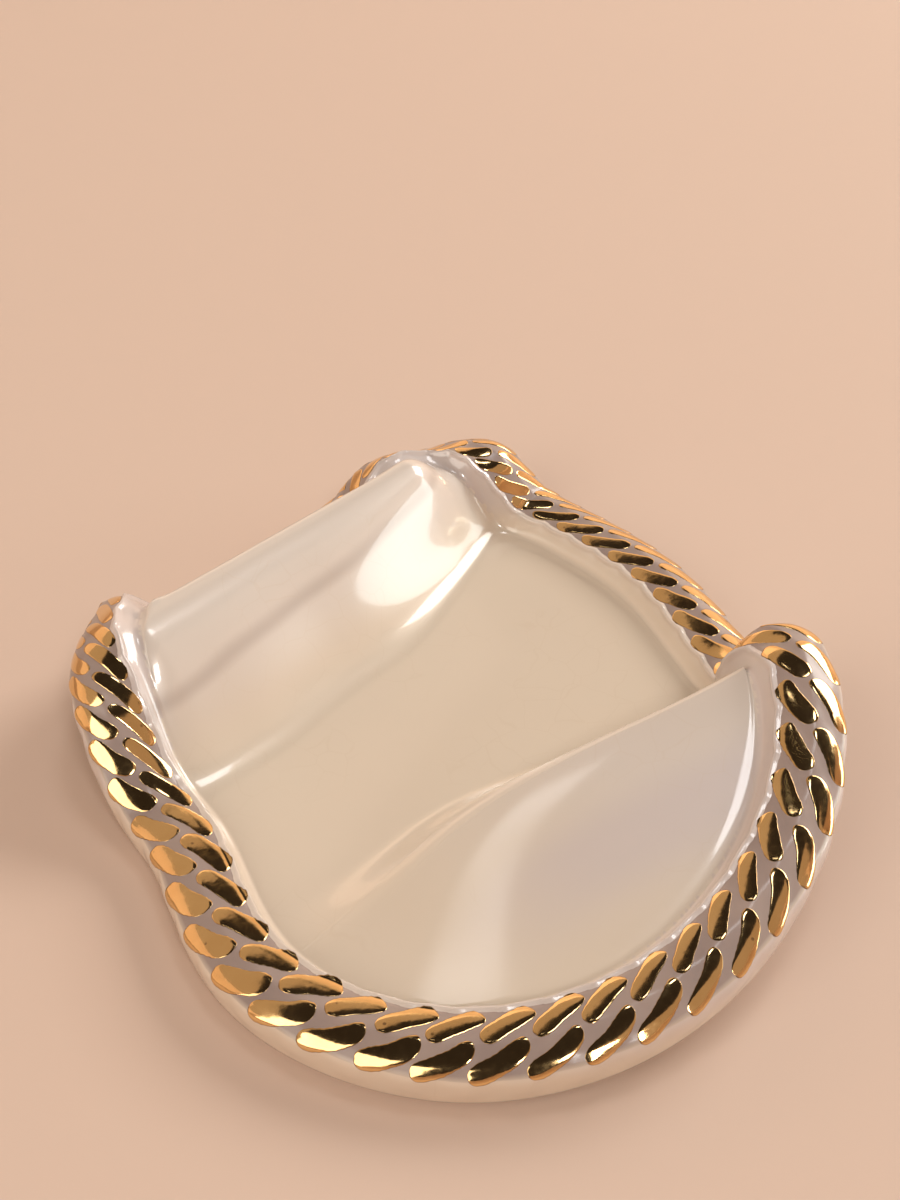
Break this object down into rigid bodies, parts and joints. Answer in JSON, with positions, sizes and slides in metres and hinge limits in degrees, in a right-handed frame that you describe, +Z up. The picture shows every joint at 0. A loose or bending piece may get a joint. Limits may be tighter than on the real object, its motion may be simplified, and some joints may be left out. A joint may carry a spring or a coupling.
{
  "type": "jewelry tray",
  "caption": "Free-form glazed ceramic jewelry tray: a wavy draped dish with a flat valley between raised ridges and a gilded curb-chain relief around the rim.",
  "frame": {"origin": "on the flat underside of the valley between the ridges, where the tray rests, at the middle of the dish", "axes": "+X runs along the ridges and the valley between them, +Y across them towards the far ridge, +Z up out of the dish"},
  "size_m": [0.1347, 0.1413, 0.028],
  "materials": {
    "pearl_glaze": "glossy ivory glaze with a pearl sheen and fine crazing",
    "lilac_glaze": "glossy lilac-grey glaze",
    "gold_lustre": "mirror-bright gold lustre film fired over glazed relief"
  },
  "bodies": {
    "root": {"tray_slab": "pearl_glaze", "rim_strip_front": "lilac_glaze", "rim_strip_back": "lilac_glaze", "chain_link_01": "gold_lustre", "chain_link_02": "gold_lustre", "chain_link_03": "gold_lustre", "chain_link_04": "gold_lustre", "chain_link_05": "gold_lustre", "chain_link_06": "gold_lustre", "chain_link_07": "gold_lustre", "chain_link_08": "gold_lustre", "chain_link_09": "gold_lustre", "chain_link_10": "gold_lustre", "chain_link_11": "gold_lustre", "chain_link_12": "gold_lustre", "chain_link_13": "gold_lustre", "chain_link_14": "gold_lustre", "chain_link_15": "gold_lustre", "chain_link_16": "gold_lustre", "chain_link_17": "gold_lustre", "chain_link_18": "gold_lustre", "chain_link_19": "gold_lustre", "chain_link_20": "gold_lustre", "chain_link_21": "gold_lustre", "chain_link_22": "gold_lustre", "chain_link_23": "gold_lustre", "chain_link_24": "gold_lustre", "chain_link_25": "gold_lustre", "chain_link_26": "gold_lustre", "chain_link_27": "gold_lustre", "chain_link_28": "gold_lustre", "chain_link_29": "gold_lustre", "chain_link_30": "gold_lustre", "chain_link_31": "gold_lustre", "chain_link_32": "gold_lustre", "chain_link_33": "gold_lustre", "chain_link_34": "gold_lustre", "chain_link_35": "gold_lustre", "chain_link_36": "gold_lustre", "chain_link_37": "gold_lustre", "chain_link_38": "gold_lustre", "chain_link_39": "gold_lustre", "chain_link_40": "gold_lustre", "chain_link_41": "gold_lustre", "chain_link_42": "gold_lustre", "chain_link_43": "gold_lustre", "chain_link_44": "gold_lustre", "chain_link_45": "gold_lustre", "chain_link_46": "gold_lustre", "chain_link_47": "gold_lustre", "chain_link_48": "gold_lustre", "chain_link_49": "gold_lustre", "chain_link_50": "gold_lustre", "chain_link_51": "gold_lustre", "chain_link_52": "gold_lustre", "chain_link_53": "gold_lustre", "chain_link_54": "gold_lustre", "chain_link_55": "gold_lustre", "chain_link_56": "gold_lustre", "chain_link_57": "gold_lustre"}
  },
  "joints": []
}
